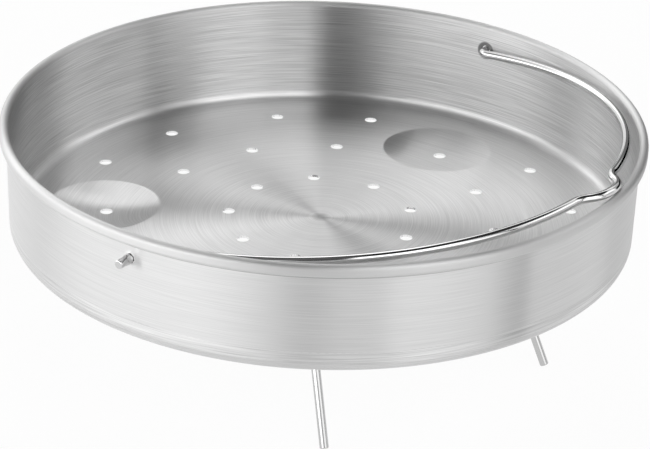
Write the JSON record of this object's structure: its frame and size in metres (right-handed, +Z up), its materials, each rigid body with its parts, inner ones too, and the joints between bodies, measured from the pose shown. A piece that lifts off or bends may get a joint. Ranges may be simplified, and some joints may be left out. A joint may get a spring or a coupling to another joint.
{
  "type": "steamer insert",
  "caption": "Round perforated steel steamer pan with a rolled rim, shallow dimples in its floor and a swinging wire bail, standing on a loose wire trivet.",
  "frame": {"origin": "on the pan's axis, in the plane of the surface that the trivet's feet stand on", "axes": "+Z up along the pan's axis, Y along the bail's pivot axis, +X towards the side on which the bail lies at rest"},
  "size_m": [0.22, 0.2272, 0.0846],
  "materials": {
    "pan_steel": "brushed stainless steel with a polished rim",
    "wire_steel": "polished stainless steel wire"
  },
  "bodies": {
    "trivet": {"trivet_frame": "wire_steel", "trivet_back_leg": "wire_steel"},
    "pan": {"pan_body": "pan_steel"},
    "bail": {"bail_handle": "wire_steel"}
  },
  "joints": [
    {"name": "pan_lift", "type": "slide", "parent": "trivet", "child": "pan", "axis": [0, 0, 1], "range_m": [0, 0.08]},
    {"name": "bail_hinge", "type": "hinge", "parent": "pan", "child": "bail", "pos_m": [0, 0, 0.072], "axis": [0, -1, 0], "range_deg": [0, 168.1]}
  ]
}
